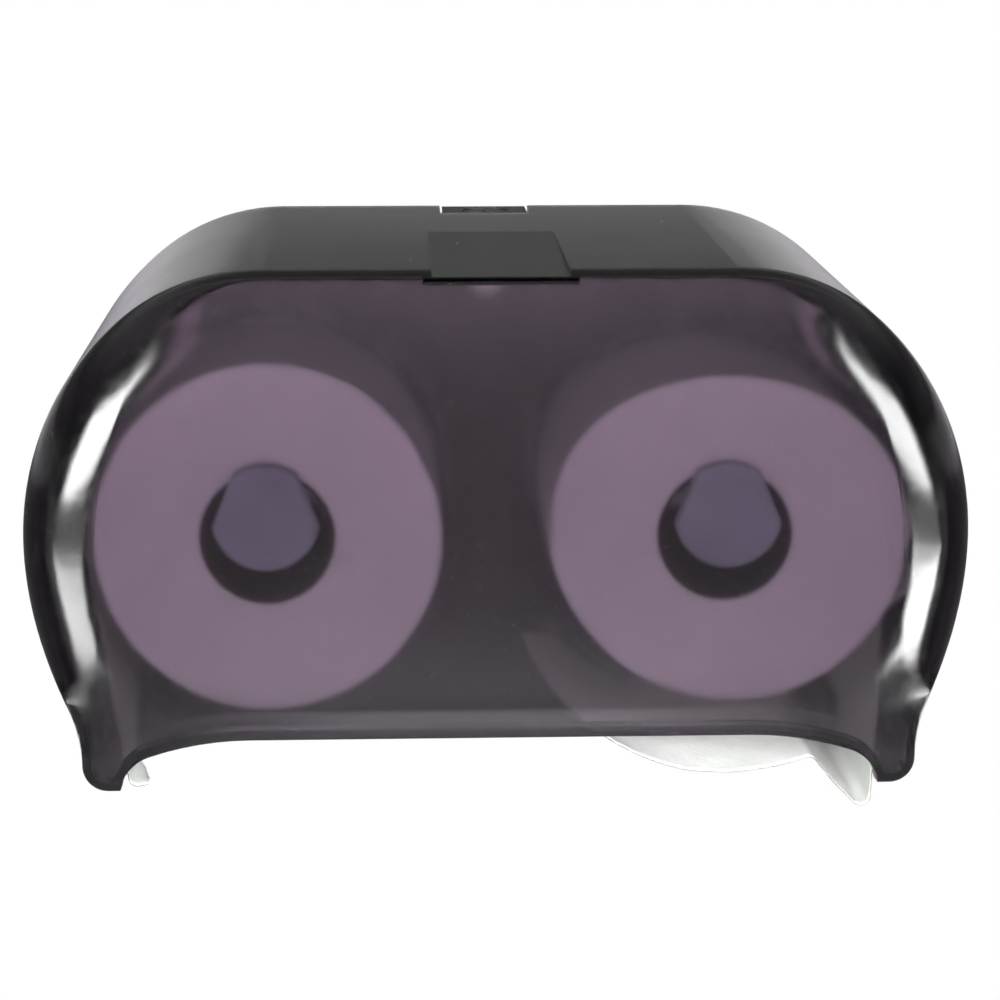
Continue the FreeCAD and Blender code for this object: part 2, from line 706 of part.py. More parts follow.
def make_spindle_screws():
    screws = []
    for side, sign in SIDES.items():
        for hole, offset in SIDES.items():
            screws.append(make_screw(
                f"flange_screw_{side}_{hole}", -TO_FRONT, "flange_screw", "flange_screw_length",
                "flange_screw_head", "flange_screw_head_height",
                f"{sign} * {ROLL_X} + {offset} * {FLANGE_SCREW_X}", f"-{FLANGE_FRONT}", "spindle_height"))
    group = doc.addObject("Part::Compound", "spindle_screws")
    group.Links = screws
    group.Label = "spindle_screws"
    return group


# Rolls: a cardboard core in the paper

def make_ring(name, sign, bore, outside, edge_bevel=None):
    body = new_body(name)
    sketch = new_sketch(body, "XZ_Plane", name + "_ring", "roll_back")
    draw_circle(sketch, "0", "0", outside)
    draw_circle(sketch, "0", "0", bore)
    pad(body, sketch, "roll_width")
    if edge_bevel:
        doc.recompute()
        radius = number(outside) / 2
        edges = [f"Edge{i}" for i, edge in enumerate(body.Shape.Edges, start=1)
                 if edge.Closed and abs(edge.Curve.Radius - radius) < 1e-4]
        bevel_edges(body, edges, edge_bevel)
    return place(body, f"{sign} * {ROLL_X}", "0", ROLL_Z)


# Loose paper ends

def paper_sheet(name, path):
    """Thicken an open run of corners to a sheet as wide as the roll."""
    body = new_body(name + "_route")
    sketch = new_sketch(body, "XZ_Plane", name + "_path", "roll_back")
    draw_loop(sketch, path, closed=False)
    section = doc.addObject("Part::Offset2D", name + "_section")
    section.Source = sketch
    section.Fill = True
    section.Join = "Arc"
    bind(section, Value="paper_thickness / 2")
    sheet_solid = doc.addObject("Part::Extrusion", name)
    sheet_solid.Base = section
    sheet_solid.DirMode = "Custom"
    sheet_solid.Dir = TO_FRONT
    sheet_solid.Solid = True
    bind(sheet_solid, LengthFwd="roll_width")
    sheet_solid.Label = name
    return sheet_solid


def make_tail_left():
    centre = f"(-{ROLL_X})"
    end_z = f"({ROLL_BOTTOM} - left_tail_below)"
    leave_x = f"({centre} - {WRAP} * cos(left_leave_angle))"
    leave_z = f"({ROLL_Z} - {WRAP} * sin(left_leave_angle))"
    hold = "(left_hold_angle - left_leave_angle)"
    return paper_sheet("tail_left", [
        (f"{centre} - {WRAP} * cos({hold})", f"{ROLL_Z} + {WRAP} * sin({hold})", ("left", WRAP)),
        (leave_x, leave_z, None),
        (f"{leave_x} + ({leave_z} - {end_z}) * tan(left_leave_angle)", end_z, None),
    ])


def make_tail_right():
    """The sheet leaves the roll's outer side, folds back on itself and curls under the roll."""
    hold = "(right_hold_angle - right_leave_angle)"
    leave_x = f"({ROLL_X} + {WRAP} * cos(right_leave_angle))"
    leave_z = f"({ROLL_Z} - {WRAP} * sin(right_leave_angle))"
    fold_z = f"({ROLL_BOTTOM} - fold_below)"
    # headings are measured clockwise from straight down
    bend_x = f"({leave_x} - hang_run * sin(right_leave_angle))"
    bend_z = f"({leave_z} - hang_run * cos(right_leave_angle))"
    hang_x = f"({bend_x} + hang_radius * (cos(right_leave_angle) - cos(hang_angle)))"
    hang_z = f"({bend_z} - hang_radius * (sin(right_leave_angle) - sin(hang_angle)))"
    fold_x = f"({hang_x} - ({hang_z} - {fold_z}) * tan(hang_angle))"
    start = "hang_angle"
    middle = f"({start} + fold_angle / 2)"
    back = f"({start} + fold_angle)"
    middle_x = f"({fold_x} - fold_radius * (cos({start}) - cos({middle})))"
    middle_z = f"({fold_z} + fold_radius * (sin({start}) - sin({middle})))"
    turned_x = f"({fold_x} - fold_radius * (cos({start}) - cos({back})))"
    turned_z = f"({fold_z} + fold_radius * (sin({start}) - sin({back})))"
    crest_x = f"({turned_x} - crest_run * sin({back}))"
    crest_z = f"({turned_z} - crest_run * cos({back}))"
    under = f"({back} - crest_angle)"
    curl_radius = f"({WRAP} + curl_gap)"
    curl_x = f"({crest_x} + crest_radius * (cos({back}) - cos({under})))"
    curl_z = f"({crest_z} - crest_radius * (sin({back}) - sin({under})))"
    end = f"({under} + curl_angle)"
    end_x = f"({curl_x} - {curl_radius} * (cos({under}) - cos({end})))"
    end_z = f"({curl_z} + {curl_radius} * (sin({under}) - sin({end})))"
    return paper_sheet("tail_right", [
        (f"{ROLL_X} + {WRAP} * cos({hold})", f"{ROLL_Z} + {WRAP} * sin({hold})", ("right", WRAP)),
        (leave_x, leave_z, None),
        (bend_x, bend_z, ("left", "hang_radius")),
        (hang_x, hang_z, None),
        (fold_x, fold_z, ("right", "fold_radius")),
        (middle_x, middle_z, ("right", "fold_radius")),
        (turned_x, turned_z, None),
        (crest_x, crest_z, ("left", "crest_radius")),
        (curl_x, curl_z, ("right", curl_radius)),
        (end_x, end_z, None),
    ])


# Key lock

def make_lock_barrel():
    body = new_body("lock_barrel")
    sketch = new_sketch(body, "XZ_Plane", "barrel_profile")
    bore = "(key_plug / 2 + lock_play)"
    draw_loop(sketch, [
        (bore, LOCK_BOTTOM, None),
        ("lock_diameter / 2", LOCK_BOTTOM, None),
        ("lock_diameter / 2", BASE_TOP, None),
        (f"{LOCK_HEAD} / 2", BASE_TOP, None),
        (f"{LOCK_HEAD} / 2", f"{BASE_TOP} + lock_head_height", None),
        (bore, f"{BASE_TOP} + lock_head_height", None),
    ])
    revolve(body, sketch, "V_Axis")
    return place(body, y=f"-{LOCK_BACK}")


def make_lock_nut():
    body = new_body("lock_nut")
    sketch = new_sketch(body, "XY_Plane", "nut_outline", f"{BASE_TOP} - base_wall - nut_height")
    corner = f"{NUT} / 2 / cos(30)"
    draw_loop(sketch, [(f"{corner} * cos({turn})", f"{corner} * sin({turn})", None)
                       for turn in range(0, 360, 60)])
    draw_circle(sketch, "0", "0", "lock_diameter + 2 * lock_play")
    pad(body, sketch, "nut_height")
    return place(body, y=f"-{LOCK_BACK}")


def make_lock_plug():
    body = new_body("lock_plug")
    stem = new_sketch(body, "XY_Plane", "plug_round", CAM_TOP)
    draw_circle(stem, "0", "0", "key_plug")
    pad(body, stem, "lock_length + lock_head_height + cam_gap")
    square = new_sketch(body, "XY_Plane", "plug_square", CAM_BOTTOM)
    half = "cam_square / 2"
    draw_rectangle(square, f"-{half}", f"-{half}", half, half)
    pad(body, square, "cam_thickness")
    slot = new_sketch(body, "XY_Plane", "key_slot", f"{BASE_TOP} + lock_head_height")
    draw_rectangle(slot, "-key_width / 2", "-key_length / 2", "key_width / 2", "key_length / 2")
    pocket(body, slot, "key_depth")
    thread = new_sketch(body, "XY_Plane", "plug_thread", CAM_BOTTOM)
    draw_circle(thread, "0", "0", "cam_screw")
    pocket(body, thread, "cam_screw_length", reversed_way=True)
    return place(body, y=f"-{LOCK_BACK}")


def make_lock_cam():
    """The cam points to the front when open, and to the catch's side when locked."""
    body = new_body("lock_cam")
    sketch = new_sketch(body, "XY_Plane", "cam_outline", CAM_BOTTOM)
    half = "cam_width / 2"
    tip = "(cam_width / 2 - cam_reach)"
    draw_loop(sketch, [
        (half, "0", ("left", half)),
        ("0", half, ("left", half)),
        (f"-{half}", "0", None),
        (f"-{half}", tip, ("left", half)),
        ("0", "-cam_reach", ("left", half)),
        (half, tip, None),
    ])
    hole = "(cam_square / 2 + lock_play)"
    draw_rectangle(sketch, f"-{hole}", f"-{hole}", hole, hole)
    pad(body, sketch, "cam_thickness")
    return place(body, y=f"-{LOCK_BACK}")


# Build, test and write

nodes = [make_front_cover(), make_back_base(), make_spindle_screws(), make_tail_left(), make_tail_right()]
for side, sign in SIDES.items():
    nodes.append(make_hinge_pin(side, sign))
    nodes.append(make_spindle(side, sign))
    nodes.append(make_spindle_cap(side, sign))
    nodes.append(make_ring(f"core_{side}", sign, "core_bore", "core_bore + 2 * core_wall"))
    nodes.append(make_ring(f"paper_{side}", sign, "core_bore + 2 * core_wall", "roll_diameter", "roll_edge"))
nodes += [make_lock_barrel(), make_lock_nut(), make_lock_plug(), make_lock_cam()]
nodes.append(make_screw("cam_screw", UP, "cam_screw", "cam_screw_length", "cam_screw_head",
                        "cam_screw_head_height", "0", f"-{LOCK_BACK}", CAM_BOTTOM))
doc.recompute()

for item in doc.Objects:
    if "Invalid" in item.State or "Error" in item.State:
        raise RuntimeError(f"{item.Label} did not build: {item.State}")
os.makedirs("parts", exist_ok=True)
for node in nodes:
    shape = node.Shape
    if shape.isNull() or not shape.isValid() or not shape.Solids:
        raise RuntimeError(f"{node.Label} has no valid solid")
    shape.exportStep(f"parts/{node.Label}.step")
    print(node.Label, len(shape.Solids), "solid(s),", round(shape.Volume / 1000, 2), "cm3")
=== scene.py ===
import math

import bpy
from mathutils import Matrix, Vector, noise


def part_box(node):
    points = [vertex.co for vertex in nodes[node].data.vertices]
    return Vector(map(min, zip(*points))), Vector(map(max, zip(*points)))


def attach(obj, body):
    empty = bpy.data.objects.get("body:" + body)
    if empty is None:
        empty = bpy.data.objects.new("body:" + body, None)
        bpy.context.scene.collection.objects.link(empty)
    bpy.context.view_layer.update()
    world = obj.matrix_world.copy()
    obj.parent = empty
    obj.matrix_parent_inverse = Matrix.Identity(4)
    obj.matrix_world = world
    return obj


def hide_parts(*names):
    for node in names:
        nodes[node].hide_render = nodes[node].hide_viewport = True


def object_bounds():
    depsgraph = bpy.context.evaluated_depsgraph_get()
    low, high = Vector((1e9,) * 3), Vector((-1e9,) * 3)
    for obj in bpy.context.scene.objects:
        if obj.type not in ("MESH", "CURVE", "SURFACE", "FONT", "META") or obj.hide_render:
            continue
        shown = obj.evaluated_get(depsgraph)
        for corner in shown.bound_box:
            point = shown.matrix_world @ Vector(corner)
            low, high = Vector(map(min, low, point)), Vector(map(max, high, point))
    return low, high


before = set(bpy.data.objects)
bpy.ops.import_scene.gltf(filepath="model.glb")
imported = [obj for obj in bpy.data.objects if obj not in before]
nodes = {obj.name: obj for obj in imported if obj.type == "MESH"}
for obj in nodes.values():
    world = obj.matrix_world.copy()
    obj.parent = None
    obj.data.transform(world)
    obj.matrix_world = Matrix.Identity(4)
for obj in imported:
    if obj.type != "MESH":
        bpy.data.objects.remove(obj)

cad_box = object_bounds()
scene = bpy.context.scene
MM = 0.001
SIDES = {"left": -1.0, "right": 1.0}

# Camera, fitted to the photograph

CAMERA_PLACE = Vector((-33.79, -1036.68, 206.82)) * MM
CAMERA_TURN = math.radians(2.2)
CAMERA_TILT = math.radians(12.0)
CAMERA_LENS = 95.94
CAMERA_SENSOR = 36.0
CAMERA_SHIFT = 0.0015


def make_camera():
    data = bpy.data.cameras.new("photo_camera")
    data.lens = CAMERA_LENS
    data.sensor_width = CAMERA_SENSOR
    data.shift_x = CAMERA_SHIFT
    camera = bpy.data.objects.new("photo_camera", data)
    scene.collection.objects.link(camera)
    forward = Vector((
        math.sin(CAMERA_TURN) * math.cos(CAMERA_TILT),
        math.cos(CAMERA_TURN) * math.cos(CAMERA_TILT),
        -math.sin(CAMERA_TILT),
    ))
    camera.location = CAMERA_PLACE
    camera.rotation_euler = forward.to_track_quat("-Z", "Y").to_euler()
    scene.camera = camera


# Shader helpers

def new_material(name):
    material = bpy.data.materials.new(name)
    material.use_nodes = True
    tree = material.node_tree
    return material, tree, tree.nodes["Principled BSDF"]


def object_coordinates(tree):
    return tree.nodes.new("ShaderNodeTexCoord").outputs["Object"]


def add_noise(tree, scale, detail=3.0, roughness=0.55):
    texture = tree.nodes.new("ShaderNodeTexNoise")
    texture.inputs["Scale"].default_value = scale
    texture.inputs["Detail"].default_value = detail
    texture.inputs["Roughness"].default_value = roughness
    tree.links.new(object_coordinates(tree), texture.inputs["Vector"])
    return texture.outputs["Fac"]


def add_range(tree, value, low, high, start=0.0, end=1.0):
    """Map a value from start..end to low..high."""
    node = tree.nodes.new("ShaderNodeMapRange")
    node.inputs["From Min"].default_value = start
    node.inputs["From Max"].default_value = end
    node.inputs["To Min"].default_value = low
    node.inputs["To Max"].default_value = high
    tree.links.new(value, node.inputs["Value"])
    return node.outputs["Result"]


def add_ramp(tree, value, stops):
    """Colour ramp from (place, colour) stops."""
    node = tree.nodes.new("ShaderNodeValToRGB")
    ramp = node.color_ramp
    while len(ramp.elements) < len(stops):
        ramp.elements.new(0.5)
    for element, (place, colour) in zip(ramp.elements, stops):
        element.position = place
        element.color = (*colour, 1.0)
    tree.links.new(value, node.inputs["Fac"])
    return node.outputs["Color"]


def add_clamp(tree, value, start, end):
    """0 at start, 1 at end, and held beyond both."""
    return add_range(tree, value, 0.0, 1.0, start, end)


def add_bump(tree, height, strength, distance, under=None):
    """Bump from a height, laid over another normal where one is given."""
    node = tree.nodes.new("ShaderNodeBump")
    node.inputs["Strength"].default_value = strength
    node.inputs["Distance"].default_value = distance
    tree.links.new(height, node.inputs["Height"])
    if under is not None:
        tree.links.new(under, node.inputs["Normal"])
    return node.outputs["Normal"]


def add_math(tree, operation, *values):
    node = tree.nodes.new("ShaderNodeMath")
    node.operation = operation
    for socket, value in zip(node.inputs, values):
        if isinstance(value, (int, float)):
            socket.default_value = value
        else:
            tree.links.new(value, socket)
    return node.outputs["Value"]


def add_curve(tree, value, points, scale=MM):
    """A curve through (place, height) points in the given scale."""
    reach = points[-1][0]
    highest = max(height for place, height in points)
    stops = [(place / reach, [height / highest] * 3) for place, height in points]
    curve = add_ramp(tree, add_range(tree, value, 0.0, 1.0, 0.0, reach * MM), stops)
    return add_math(tree, "MULTIPLY", curve, highest * scale)


def add_product(tree, *values):
    total = values[0]
    for value in values[1:]:
        total = add_math(tree, "MULTIPLY", total, value)
    return total


def add_split(tree, vector):
    node = tree.nodes.new("ShaderNodeSeparateXYZ")
    tree.links.new(vector, node.inputs["Vector"])
    return node.outputs


def add_joined(tree, x, y, z):
    node = tree.nodes.new("ShaderNodeCombineXYZ")
    for socket, value in zip(node.inputs, (x, y, z)):
        if isinstance(value, float):
            socket.default_value = value
        else:
            tree.links.new(value, socket)
    return node.outputs["Vector"]


def add_vector_math(tree, operation, *vectors):
    node = tree.nodes.new("ShaderNodeVectorMath")
    node.operation = operation
    for socket, vector in zip(node.inputs, vectors):
        tree.links.new(vector, socket)
    return node.outputs["Vector"]


# Studio

FLOOR_DROP = 0.45
FLOOR_SIZE = 120.0
FLOOR_SHADE = 0.05
FLOOR_THROUGH = 0.1
# what mirrors see of the floor, from front to back: (place along Y, brightness)
FLOOR_MIRRORED = [(-5.0, 0.9), (-4.0, 0.85), (-3.1, 0.1), (-2.4, 0.0), (-1.95, 1.2), (-0.9, 3.4),
                  (-0.5, 3.0), (-0.3, 0.12), (4.0, 0.12), (9.0, 0.7)]
FLOOR_TINT = (0.96, 0.9, 1.0)
# in front, the mirrored floor fades to the sides: (sideways per step forward, share of the brightness)
FLOOR_MIDDLE_LINE = 0.035
FLOOR_FADE = [(0.12, 1.0), (0.2, 0.2)]
FLOOR_FADE_ENDS = (-0.4, 0.0)


def floor_material():
    """White to look at and dim through clear plastic; mirrors see it lit in stretches."""
    material, tree, shader = new_material("pale_floor")
    shader.inputs["Base Color"].default_value = (FLOOR_SHADE, FLOOR_SHADE, FLOOR_SHADE, 1.0)
    shader.inputs["Roughness"].default_value = 0.9
    shader.inputs["Specular IOR Level"].default_value = 0.0
    spot = add_split(tree, object_coordinates(tree))
    front, back = FLOOR_MIRRORED[0][0], FLOOR_MIRRORED[-1][0]
    brightest = max(shade for place, shade in FLOOR_MIRRORED)
    stops = [((place - front) / (back - front), [shade / brightest * part for part in FLOOR_TINT])
             for place, shade in FLOOR_MIRRORED]
    along = add_range(tree, spot["Y"], 0.0, 1.0, front, back)
    tree.links.new(add_ramp(tree, along, stops), shader.inputs["Emission Color"])
    path = tree.nodes.new("ShaderNodeLightPath").outputs
    slope = add_math(tree, "DIVIDE", spot["X"], spot["Y"])
    sideways = add_math(tree, "ABSOLUTE", add_math(tree, "ADD", slope, FLOOR_MIDDLE_LINE))
    (near, full), (far, faded) = FLOOR_FADE
    fade = add_math(tree, "MAXIMUM", add_range(tree, sideways, full, faded, near, far),
                    add_clamp(tree, spot["Y"], *FLOOR_FADE_ENDS))
    mirrored = add_product(tree, brightest, fade, path["Is Glossy Ray"])
    tree.links.new(mirrored, shader.inputs["Emission Strength"])
    white = tree.nodes.new("ShaderNodeEmission")
    straight, through = path["Is Camera Ray"], path["Is Transmission Ray"]
    strength = add_math(tree, "MAXIMUM", straight, add_math(tree, "MULTIPLY", through, FLOOR_THROUGH))
    tree.links.new(strength, white.inputs["Strength"])
    mix = tree.nodes.new("ShaderNodeMixShader")
    tree.links.new(add_math(tree, "MAXIMUM", straight, through), mix.inputs[0])
    tree.links.new(shader.outputs["BSDF"], mix.inputs[1])
    tree.links.new(white.outputs["Emission"], mix.inputs[2])
    tree.links.new(mix.outputs["Shader"], tree.nodes["Material Output"].inputs["Surface"])
    material.cycles.emission_sampling = "NONE"
    return material


# brightness of the room over the sine of the height above the horizon
ROOM_SHADES = [(0.0, 0.7), (0.06, 0.48), (0.1, 0.48), (0.118, 0.75), (0.124, 0.02), (0.165, 0.0),
               (0.182, 0.19), (0.24, 0.16), (0.35, 0.03)]
ROOM_FRONT_SHARE = 0.1
ROOM_TURN = (-0.2, 0.2)
CEILING_SHADE = 0.5
CEILING_EDGE = (0.3, 0.5)


def make_room():
    """White to look at; else bright at the horizon behind the object, and with a ceiling only mirrors see."""
    world = bpy.data.worlds.new("studio")
    scene.world = world
    world.use_nodes = True
    tree = world.node_tree
    way = add_split(tree, tree.nodes.new("ShaderNodeTexCoord").outputs["Generated"])
    path = tree.nodes.new("ShaderNodeLightPath").outputs
    walls = add_ramp(tree, way["Z"], [(place, (shade, shade, shade)) for place, shade in ROOM_SHADES])
    overhead = add_clamp(tree, way["Z"], *CEILING_EDGE)
    ceiling = add_product(tree, CEILING_SHADE, overhead, path["Is Glossy Ray"])
    lit = add_product(tree, walls, add_range(tree, way["Y"], ROOM_FRONT_SHARE, 1.0, *ROOM_TURN))
    room = add_math(tree, "ADD", ceiling, lit)
    seen = add_math(tree, "MAXIMUM", room, path["Is Camera Ray"])
    tree.links.new(seen, tree.nodes["Background"].inputs["Color"])


def make_plane(name, width, height, material):
    mesh = bpy.data.meshes.new(name)
    corners = [(-0.5, -0.5), (0.5, -0.5), (0.5, 0.5), (-0.5, 0.5)]
    mesh.from_pydata([(x * width, y * height, 0.0) for x, y in corners], [], [(0, 1, 2, 3)])
    mesh.materials.append(material)
    plane = bpy.data.objects.new(name, mesh)
    scene.collection.objects.link(plane)
    return plane


def panel_material(name, radiance):
    material, tree, _ = new_material(name)
    glow = tree.nodes.new("ShaderNodeEmission")
    glow.inputs["Strength"].default_value = radiance
    tree.links.new(glow.outputs["Emission"], tree.nodes["Material Output"].inputs["Surface"])
    material.cycles.emission_sampling = "NONE"
    return material


def make_panel(name, place, target, size, radiance, mirrored):
    """A lit panel, seen either by mirrors only or by everything but mirrors."""
    panel = make_plane(name, *size, panel_material(name, radiance))
    panel.location = place
    panel.rotation_euler = (Vector(target) - Vector(place)).to_track_quat("-Z", "Y").to_euler()
    panel.visible_camera = False
    panel.visible_shadow = False
    panel.visible_glossy = mirrored
    panel.visible_diffuse = not mirrored
    panel.visible_transmission = not mirrored


FRONT_PANEL_PLACE = (0.0, -1.9, 0.3)
FRONT_PANEL_TARGET = (0.0, -0.1, 0.0)
FRONT_PANEL_SIZE = (1.2, 0.8)
FRONT_PANEL_RADIANCE = 57.0
# softboxes at both sides of the front: (name, height of the middle, height, radiance left and right)
SIDE_PANELS = [("upper", 0.1, 0.24, {"left": 33.0, "right": 26.0}),
               ("lower", -0.22, 0.16, {"left": 20.0, "right": 34.0})]
SIDE_PANEL_PLACE = (0.584, -0.589)
SIDE_PANEL_TARGET = (0.145, -0.18)
SIDE_PANEL_WIDTH = 0.51


def make_studio():
    scene.view_settings.view_transform = "Standard"
    make_room()
    floor = make_plane("floor", FLOOR_SIZE, FLOOR_SIZE, floor_material())
    floor.location.z = cad_box[0].z - FLOOR_DROP
    make_panel("front_panel", FRONT_PANEL_PLACE, FRONT_PANEL_TARGET, FRONT_PANEL_SIZE,
               FRONT_PANEL_RADIANCE, False)
    for side, sign in SIDES.items():
        for name, middle, height, radiance in SIDE_PANELS:
            place, target = [(sign * x, y, middle) for x, y in (SIDE_PANEL_PLACE, SIDE_PANEL_TARGET)]
            size = (SIDE_PANEL_WIDTH, height)
            make_panel(f"{side}_{name}_panel", place, target, size, radiance[side], True)


# Materials

# the front edge's soft roll: the outline is nearly a circle on each side
ROLL_CENTRE = (54.5 * MM, 6.4 * MM)
ROLL_REACH = 105.2 * MM
ROLL_TILT = 0.3
# how much of the tilt, over the distance in from the outline in millimetres
ROLL_SHARES = [(0.0, 0.0), (6.0, 0.4), (13.0, 1.0), (17.0, 1.0), (26.0, 0.0)]
# where the roll sets in: by height from its centre, by distance from its centre line, and above the feet
ROLL_RISE = (0.0, 50.0 * MM)
ROLL_ACROSS = (42.0 * MM, 60.0 * MM)
ROLL_FOOT = (-55.0 * MM, -40.0 * MM)
# the lip along the arch: how far the arch has dropped, over the distance from the middle
ARCH_TOP = -56.5 * MM
ARCH_DROPS = [(0.0, 0.0), (84.0, 0.0), (101.0, 1.5), (112.0, 4.0), (118.0, 5.7), (122.0, 7.6),
              (127.0, 15.0)]
LIP_TILT = 0.18
# how much of the lip's tilt, over the height above the arch in millimetres
LIP_SHARES = [(0.0, 0.0), (2.5, 0.2), (4.5, 1.0), (7.0, 1.0), (10.0, 0.0)]
FRONT_FACING = (-0.2, -0.8)
# the flared feet: where the normals are flattened
FLARE_FLATTENING = 0.95
FLARE_HEIGHT = (-36.0 * MM, -45.0 * MM)
FLARE_FACING = (-0.1, -0.5)


def soft_edge_normal(tree):
    """The front's normal: leant out along the sides and down along the arch, and flatter at the feet."""
    place = add_split(tree, object_coordinates(tree))
    from_middle = add_math(tree, "ABSOLUTE", place["X"])
    across = add_math(tree, "SUBTRACT", from_middle, ROLL_CENTRE[0])
    rise = add_math(tree, "SUBTRACT", place["Z"], ROLL_CENTRE[1])
    squares = [add_math(tree, "MULTIPLY", value, value) for value in (across, rise)]
    away = add_math(tree, "SQRT", add_math(tree, "ADD", *squares))
    inside = add_math(tree, "SUBTRACT", ROLL_REACH, away)
    normal = tree.nodes.new("ShaderNodeNewGeometry").outputs["Normal"]
    facing = add_split(tree, normal)["Y"]
    ahead = add_clamp(tree, facing, *FRONT_FACING)
    lean = add_product(
        tree,
        ROLL_TILT,
        add_curve(tree, inside, ROLL_SHARES, 1.0),
        add_clamp(tree, add_math(tree, "ABSOLUTE", rise), *ROLL_RISE),
        add_clamp(tree, across, *ROLL_ACROSS),
        add_clamp(tree, place["Z"], *ROLL_FOOT),
        ahead,
        add_math(tree, "DIVIDE", 1.0, away),
    )
    arch = add_math(tree, "SUBTRACT", ARCH_TOP, add_curve(tree, from_middle, ARCH_DROPS))
    over_arch = add_math(tree, "SUBTRACT", place["Z"], arch)
    dip = add_product(tree, -LIP_TILT, add_curve(tree, over_arch, LIP_SHARES, 1.0), ahead)
    lean_x = add_product(tree, add_math(tree, "SIGN", place["X"]), across, lean)
    lean_z = add_math(tree, "ADD", add_math(tree, "MULTIPLY", rise, lean), dip)
    flat = add_product(tree, FLARE_FLATTENING, add_clamp(tree, place["Z"], *FLARE_HEIGHT),
                       add_clamp(tree, facing, *FLARE_FACING))
    kept = add_math(tree, "SUBTRACT", 1.0, flat)
    flattened = add_vector_math(tree, "MULTIPLY", normal, add_joined(tree, kept, 1.0, kept))
    leant = add_vector_math(tree, "ADD", flattened, add_joined(tree, lean_x, 0.0, lean_z))
    return add_vector_math(tree, "NORMALIZE", leant)


SMOKE_TINT = (0.4, 0.32, 0.4)
SMOKE_DENSITY = 720.0
SMOKE_ROUGHNESS = (0.12, 0.18)


def smoke_plastic():
    """Clear plastic with a grey-violet smoke tint and a satin face."""
    material, tree, shader = new_material("smoke_plastic")
    shader.inputs["Base Color"].default_value = (1.0, 1.0, 1.0, 1.0)
    shader.inputs["Transmission Weight"].default_value = 1.0
    shader.inputs["IOR"].default_value = 1.45
    shader.inputs["Specular IOR Level"].default_value = 0.4
    tree.links.new(add_range(tree, add_noise(tree, 18.0), *SMOKE_ROUGHNESS), shader.inputs["Roughness"])
    tree.links.new(soft_edge_normal(tree), shader.inputs["Normal"])
    absorption = tree.nodes.new("ShaderNodeVolumeAbsorption")
    absorption.inputs["Color"].default_value = (*SMOKE_TINT, 1.0)
    absorption.inputs["Density"].default_value = SMOKE_DENSITY
    tree.links.new(absorption.outputs["Volume"], tree.nodes["Material Output"].inputs["Volume"])
    return material


def moulded_plastic(name, colour, roughness):
    """Matte moulded plastic with a fine grain and slight shade changes."""
    material, tree, shader = new_material(name)
    shade = add_noise(tree, 35.0)
    darker = [0.86 * part for part in colour]
    lighter = [min(1.0, 1.12 * part) for part in colour]
    tree.links.new(add_ramp(tree, shade, [(0.3, darker), (0.7, lighter)]), shader.inputs["Base Color"])
    tree.links.new(add_range(tree, add_noise(tree, 120.0), roughness - 0.08, roughness + 0.08),
                   shader.inputs["Roughness"])
    grain = add_noise(tree, 900.0, 2.0)
    tree.links.new(add_bump(tree, grain, 0.25, 0.2 * MM), shader.inputs["Normal"])
    return material


# tissue colours: (darker, lighter); the sheets are the same paper as the rolls, and their darker colours are
# painted shade
ROLL_COLOURS = ((0.84, 0.85, 0.84), (0.9, 0.91, 0.9))
SHADED_SHEET_COLOURS = ((0.75, 0.77, 0.74), (0.81, 0.83, 0.8))
# painted shade on the sheets' cut edge: its dark grey, and how far the faces look along -Y where it sets in
SHEET_EDGE_PAINTED_SHADE = (0.09, 0.09, 0.087)
SHEET_EDGE_SHADE_FACING = (-0.6, -0.9)
TISSUE_BUMP = 0.3 * MM


def add_tissue_look(tree, shader, darker, lighter):
    """Matte tissue; returns its colour, and the bump of its fibres and pressed dots."""
    colour = add_ramp(tree, add_noise(tree, 60.0), [(0.25, darker), (0.75, lighter)])
    shader.inputs["Roughness"].default_value = 0.95
    shader.inputs["Specular IOR Level"].default_value = 0.2
    dots = tree.nodes.new("ShaderNodeTexVoronoi")
    dots.inputs["Scale"].default_value = 320.0
    tree.links.new(object_coordinates(tree), dots.inputs["Vector"])
    pressed = add_bump(tree, dots.outputs["Distance"], 0.3, TISSUE_BUMP)
    return colour, add_bump(tree, add_noise(tree, 700.0, 4.0, 0.7), 0.3, TISSUE_BUMP, pressed)


def sheet_tissue_painted_shade():
    """Tissue with painted shade: darker than the rolls' tissue, and dark grey on its cut edge."""
    material, tree, shader = new_material("sheet_tissue_painted_shade")
    colour, fibres = add_tissue_look(tree, shader, *SHADED_SHEET_COLOURS)
    tree.links.new(fibres, shader.inputs["Normal"])
    # painted shade: faces that look along -Y, the sheet's cut edge, turn dark grey
    facing = add_split(tree, tree.nodes.new("ShaderNodeNewGeometry").outputs["True Normal"])["Y"]
    mix = tree.nodes.new("ShaderNodeMix")
    mix.data_type = "RGBA"
    tree.links.new(add_clamp(tree, facing, *SHEET_EDGE_SHADE_FACING), mix.inputs["Factor"])
    tree.links.new(colour, mix.inputs["A"])
    mix.inputs["B"].default_value = (*SHEET_EDGE_PAINTED_SHADE, 1.0)
    tree.links.new(mix.outputs["Result"], shader.inputs["Base Color"])
    return material


def roll_tissue():
    """Tissue with the fine rings of the wound layers about the roll's own axis."""
    material, tree, shader = new_material("roll_tissue")
    colour, fibres = add_tissue_look(tree, shader, *ROLL_COLOURS)
    tree.links.new(colour, shader.inputs["Base Color"])
    spot = add_split(tree, object_coordinates(tree))
    squares = [add_math(tree, "MULTIPLY", spot[axis], spot[axis]) for axis in "XZ"]
    radius = add_math(tree, "SQRT", add_math(tree, "ADD", *squares))
    layers = tree.nodes.new("ShaderNodeTexNoise")
    layers.noise_dimensions = "1D"
    layers.inputs["Scale"].default_value = 1400.0
    layers.inputs["Detail"].default_value = 2.0
    tree.links.new(radius, layers.inputs["W"])
    tree.links.new(add_bump(tree, layers.outputs["Fac"], 0.35, TISSUE_BUMP, fibres), shader.inputs["Normal"])
    return material


